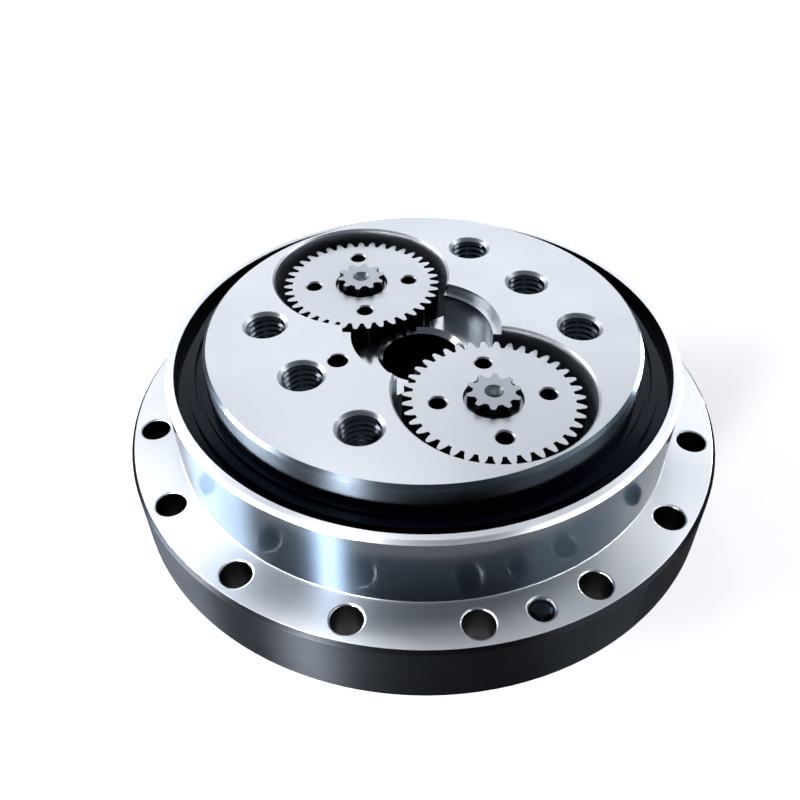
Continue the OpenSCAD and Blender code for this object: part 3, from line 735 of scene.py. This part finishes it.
@dataclass
class Carrier:
    """The output shaft and the hold flange, clamped together through the discs."""

    finishes: Finishes
    edge: float = 0.2 * MM
    output_r: float = 67.5 * MM
    collar_depth: float = 1.6 * MM
    chamfer_depth: float = 4 * MM
    bore_r: float = 12.5 * MM
    middle_r: float = 26 * MM
    pocket_r: float = 29.3 * MM
    floor_z: float = 65 * MM
    cusp_y: float = 12.5 * MM
    corner_hole: tuple[float, float] = (40 * MM, 28.216 * MM)
    middle_hole_x: float = 42.4 * MM
    hole_core_r: float = 6.1 * MM
    hole_pitch: float = 2.0 * MM
    hole_height: float = 0.7 * MM
    hole_sink: float = 0.9 * MM
    hole_length: float = 18 * MM

    def build(self) -> None:
        """Builds and dresses the carrier."""
        # the collar, dark and pocket finishes carry painted dark reflection, painted shade and
        # painted light
        Rework("output_shaft", "output_plate", "carrier", "ground_steel", self.edge).build(
            [
                self.finishes.ground_face,
                self.finishes.painted_dark_collar_wall,
                self.finishes.milled_hollow,
                self.finishes.painted_shade_hollow,
                self.finishes.painted_light_pocket_wall,
            ],
            self.surface,
            self.part_floor,
        )
        Rework("hold_flange", "hold_plate", "carrier", "ground_steel", self.edge).build(
            [self.finishes.ground_face]
        )
        self.threads()
        for node in ("inner_race_lower", "inner_race_upper", "locating_pins"):
            dress(node, self.finishes.bearing)
        for end in ("lower", "upper"):
            for crank in ("a", "b"):
                dress(f"taper_cup_{end}_{crank}", self.finishes.bearing)
        for node in ("clamp_bolts", "clamp_washers", "bearing_clip_a", "bearing_clip_b"):
            dress(node, self.finishes.black)

    def on_floor(self, face: bmesh.types.BMFace) -> bool:
        """Says whether a face lies on the floor of the pockets."""
        level = abs(face.normal.z) > LEVEL
        return level and abs(face.calc_center_median().z - self.floor_z) < ON_WALL

    def part_floor(self, mesh: bmesh.types.BMesh) -> None:
        """Parts the gear pockets' floor from the middle's, where their walls meet.

        Args:
            mesh: The output shaft's mesh.
        """
        for y in (-self.cusp_y, self.cusp_y):
            faces = [f for f in mesh.faces if self.on_floor(f)]
            edges = {e for f in faces for e in f.edges}
            verts = {v for f in faces for v in f.verts}
            bmesh.ops.bisect_plane(
                mesh, geom=[*faces, *edges, *verts], plane_co=(0, y, 0), plane_no=(0, 1, 0)
            )

    def surface(self, face: bmesh.types.BMFace) -> OutputFace:
        """Says which finish a face of the output shaft has.

        Args:
            face: The face.

        Returns:
            The finish: the gear pockets' floor takes the holes' painted shade, and the rest
            of the floor goes with the middle hollow.
        """
        centre = face.calc_center_median()
        radius = Vector((centre.x, centre.y)).length
        if radius > self.output_r - self.collar_depth and abs(face.normal.z) < LEVEL:
            return OutputFace.COLLAR
        if abs(face.normal.z) > UPRIGHT:
            if self.on_floor(face) and abs(centre.y) > self.cusp_y:
                return OutputFace.DARK
            near_top = centre.z > OUTPUT_FACE_Z - self.chamfer_depth
            return OutputFace.GROUND if near_top else OutputFace.MIDDLE
        if radius < self.bore_r + MM:
            return OutputFace.DARK
        apart = Vector((centre.x, abs(centre.y) - CRANK_R)).length
        if abs(apart - self.pocket_r) < ON_WALL:
            return OutputFace.POCKET
        return OutputFace.MIDDLE if radius < self.middle_r else OutputFace.DARK

    def threads(self) -> None:
        """Builds the threads of the six output holes."""
        thread = InnerThread(
            core_r=self.hole_core_r,
            pitch=self.hole_pitch,
            height=self.hole_height,
            top=OUTPUT_FACE_Z - self.hole_sink,
            length=self.hole_length,
        )
        x, y = self.corner_hole
        holes = [
            (side * place[0], place[1])
            for side in (1, -1)
            for place in ((x, y), (self.middle_hole_x, 0.0), (x, -y))
        ]
        thread.build_all(
            holes, "output_threads", "carrier", "ground_steel", self.finishes.thread
        )


@dataclass
class CrankTrain:
    """One crankshaft with its gear, clip, washers and bearings."""

    finishes: Finishes
    crank: str
    edge: float = 0.14 * MM
    sharp: float = 40.0
    flatness: float = 0.3
    centre_mouth_r: float = 2.6 * MM
    spline_z: float = 65.5 * MM

    def build(self) -> None:
        """Builds and dresses the crankshaft and what turns with it."""
        # the gear's upright faces take the tooth finish, darkened as painted shade
        self.rework("spur_gear", "toothed_gear").build(
            [self.finishes.gear_face, self.finishes.tooth],
            lambda f: CrankFace.FLANK if abs(f.normal.z) < UPRIGHT else CrankFace.GROUND,
        )
        self.rework("crankshaft", "splined_crank").build(
            [self.finishes.shaft_end, self.finishes.tooth, self.finishes.gear_face],
            self.surface,
        )
        dress(f"gear_clip_{self.crank}", self.finishes.clip)
        dress(f"crank_washers_{self.crank}", self.finishes.bearing)
        for end in ("lower", "upper"):
            dress(f"taper_cone_{end}_{self.crank}", self.finishes.bearing)
            dress(f"taper_rollers_{end}_{self.crank}", self.finishes.bearing)
            dress(f"needles_{end}_{self.crank}", self.finishes.bearing)
            dress(f"taper_cage_{end}_{self.crank}", self.finishes.brass)
            dress(f"needle_cage_{end}_{self.crank}", self.finishes.brass)

    def rework(self, node: str, name: str) -> Rework:
        """Returns the maker of a piece that turns with this crankshaft.

        Args:
            node: The node's name, without the crankshaft's letter.
            name: The piece's name, without it.

        Returns:
            The maker.
        """
        return Rework(
            f"{node}_{self.crank}",
            f"{name}_{self.crank}",
            f"crank_{self.crank}",
            "gear_steel",
            self.edge,
            self.sharp,
            self.flatness,
        )

    def surface(self, face: bmesh.types.BMFace) -> CrankFace:
        """Says which finish a face of the crankshaft has.

        Args:
            face: The face.

        Returns:
            The finish: only the splined end's walls are flanks, darkened as painted shade.
        """
        centre = face.calc_center_median()
        apart = Vector((centre.x, abs(centre.y) - CRANK_R)).length
        if centre.z <= self.spline_z:
            return CrankFace.GROUND
        if apart < self.centre_mouth_r and abs(face.normal.z) < LEVEL:
            return CrankFace.CENTRE
        return CrankFace.FLANK if abs(face.normal.z) < UPRIGHT else CrankFace.GROUND


@dataclass
class Gearing:
    """The discs and the main bearings' balls and cages."""

    finishes: Finishes

    def build(self) -> None:
        """Dresses the inner pieces."""
        for end in ("lower", "upper"):
            dress(f"disc_{end}", self.finishes.disc)
            dress(f"main_balls_{end}", self.finishes.bearing)
            dress(f"main_cage_{end}", self.finishes.brass)


# ------------------------------------------------------------------------ studio


@dataclass
class Camera:
    """The view: where it looks, from how far and from which side."""

    aim: tuple[float, float, float] = (-24.9 * MM, -25.1 * MM, 76 * MM)
    distance: float = 225.1 * MM
    heading: float = 56.93
    elevation: float = 41.77
    roll: float = 0.97
    lens: float = 36.3
    sensor: float = 36.0
    nearest: float = 5 * MM

    def build(self) -> bpy.types.Object:
        """Returns the scene's camera."""
        heading, down, roll = (math.radians(a) for a in (self.heading, self.elevation, self.roll))
        forward = Vector(
            (math.cos(down) * math.cos(heading), math.cos(down) * math.sin(heading), -math.sin(down))
        )
        level = forward.cross(Vector((0, 0, 1))).normalized()
        right = math.cos(roll) * level - math.sin(roll) * level.cross(forward)
        up = right.cross(forward)
        data = bpy.data.cameras.new("camera")
        data.lens = self.lens
        data.sensor_width = self.sensor
        data.clip_start = self.nearest
        camera = bpy.data.objects.new("camera", data)
        bpy.context.scene.collection.objects.link(camera)
        turn = Matrix((right, up, -forward)).transposed().to_4x4()
        camera.matrix_world = Matrix.Translation(Vector(self.aim) - self.distance * forward) @ turn
        bpy.context.scene.camera = camera
        return camera


@dataclass(frozen=True)
class Softbox:
    """A soft lamp. Its bearing is 0 behind the reducer, 90 at its left and 180 at the camera."""

    name: str
    bearing: float
    elevation: float
    width: float
    height: float
    glow: float
    distance: float = 0.9
    aim_z: float = 50 * MM

    def build(self, heading: float) -> bpy.types.Object:
        """Sets the lamp up.

        Args:
            heading: The camera's heading in degrees.

        Returns:
            The lamp, aimed at the object's middle.
        """
        turn, rise = math.radians(heading + self.bearing), math.radians(self.elevation)
        side = Vector(
            (math.cos(rise) * math.cos(turn), math.cos(rise) * math.sin(turn), math.sin(rise))
        )
        data = bpy.data.lights.new(self.name, "AREA")
        data.shape = "RECTANGLE"
        data.size, data.size_y = self.width, self.height
        data.energy = self.glow * math.pi * self.width * self.height
        lamp = bpy.data.objects.new(self.name, data)
        lamp.visible_camera = False
        lamp.location = Vector((0, 0, self.aim_z)) + self.distance * side
        lamp.rotation_euler = (-side).to_track_quat("-Z", "Y").to_euler()
        bpy.context.scene.collection.objects.link(lamp)
        return lamp


@dataclass
class Studio:
    """A pale floor, soft lamps and a world that is darker towards the camera."""

    camera: Camera
    lamps: tuple[Softbox, ...] = (
        Softbox("back bank", 0, 34, 1.7, 0.42, 1.36),
        Softbox("overhead bank", 344, 71, 0.6, 0.34, 1.3),
        Softbox("upper lamp", 15, 64, 0.1, 0.25, 7.5),
        Softbox("left upper lamp", 74, 25, 0.46, 0.3, 6.4),
        Softbox("right upper lamp", 286, 40, 0.44, 0.36, 2.7),
        Softbox("left bank", 98, 1, 0.5, 0.08, 620.0),
        Softbox("streak lamp", 146, 1, 0.12, 0.08, 1550.0),
        Softbox("right lamp", 239, 1, 0.8, 0.08, 48.0),
        Softbox("right bank", 301, -0.6, 0.32, 0.06, 430.0),
    )
    far_glow: float = 0.42
    near_glow: float = 0.12
    floor_glow: float = 0.26
    floor_reach: float = 6.0
    floor_gap: float = 0.05 * MM
    # how much the world brightens upwards too, and between which two places it fades
    upward: float = 0.35
    fade: tuple[float, float] = (-0.5, 0.8)

    def build(self) -> None:
        """Builds the floor, the lamps and the world."""
        scene = bpy.context.scene
        scene.view_settings.view_transform = "Standard"
        mesh = bmesh.new()
        bmesh.ops.create_grid(mesh, x_segments=1, y_segments=1, size=self.floor_reach)
        data = bpy.data.meshes.new("floor")
        mesh.to_mesh(data)
        mesh.free()
        floor = bpy.data.objects.new("floor", data)
        floor.location.z = -self.floor_gap
        scene.collection.objects.link(floor)
        data.materials.append(self.paper())
        for lamp in self.lamps:
            lamp.build(self.camera.heading)
        self.world()

    def paper(self) -> bpy.types.Material:
        """Returns matt white paper, whose own white shows to the eye and in metal."""
        material = bpy.data.materials.new("matt white paper")
        material.use_nodes = True
        tree = material.node_tree
        tree.nodes.clear()
        matt = add_node(tree, "ShaderNodeBsdfDiffuse", Color=linear("#C8C8CA")).outputs["BSDF"]
        path = add_node(tree, "ShaderNodeLightPath")
        seen = add_node(
            tree,
            "ShaderNodeMath",
            {"operation": "MAXIMUM"},
            _0=path.outputs["Is Camera Ray"],
            _1=path.outputs["Is Glossy Ray"],
        ).outputs["Value"]
        seen = add_node(
            tree,
            "ShaderNodeMath",
            {"operation": "MAXIMUM"},
            _0=seen,
            _1=path.outputs["Is Transmission Ray"],
        ).outputs["Value"]
        glow = add_node(
            tree, "ShaderNodeMath", {"operation": "MULTIPLY"}, _0=seen, _1=self.floor_glow
        ).outputs["Value"]
        white = add_node(
            tree, "ShaderNodeEmission", Color=(1.0, 1.0, 1.0, 1.0), Strength=glow
        ).outputs["Emission"]
        both = add_node(tree, "ShaderNodeAddShader", _0=matt, _1=white).outputs["Shader"]
        # from below, the paper lets the underside be seen
        below = add_node(tree, "ShaderNodeNewGeometry").outputs["Backfacing"]
        clear = add_node(tree, "ShaderNodeBsdfTransparent").outputs["BSDF"]
        sheet = add_node(
            tree, "ShaderNodeMixShader", _0=below, _1=both, _2=clear
        ).outputs["Shader"]
        add_node(tree, "ShaderNodeOutputMaterial", Surface=sheet)
        return material

    def world(self) -> None:
        """Builds a world that fades from far_glow behind the object to near_glow."""
        world = bpy.data.worlds.new("studio")
        world.use_nodes = True
        tree = world.node_tree
        tree.nodes.clear()
        heading = math.radians(self.camera.heading)
        side = add_node(tree, "ShaderNodeTexCoord").outputs["Generated"]
        toward = add_node(
            tree,
            "ShaderNodeVectorMath",
            {"operation": "DOT_PRODUCT"},
            _0=side,
            _1=(math.cos(heading), math.sin(heading), self.upward),
        ).outputs["Value"]
        glow = add_node(
            tree,
            "ShaderNodeMapRange",
            Value=toward,
            From_Min=self.fade[0],
            From_Max=self.fade[1],
            To_Min=self.near_glow,
            To_Max=self.far_glow,
        ).outputs["Result"]
        light = add_node(
            tree, "ShaderNodeBackground", Color=linear("#DDE6F4"), Strength=glow
        ).outputs["Background"]
        add_node(tree, "ShaderNodeOutputWorld", Surface=light)
        bpy.context.scene.world = world


def main() -> None:
    """Builds the reducer's looks and the studio."""
    logging.basicConfig(level=logging.INFO, format="%(message)s")
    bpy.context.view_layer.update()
    finishes = Finishes.build()
    Case(finishes).build()
    Carrier(finishes).build()
    for crank in ("a", "b"):
        CrankTrain(finishes, crank).build()
    Gearing(finishes).build()
    camera = Camera()
    camera.build()
    Studio(camera).build()


if __name__ == "__main__":
    main()
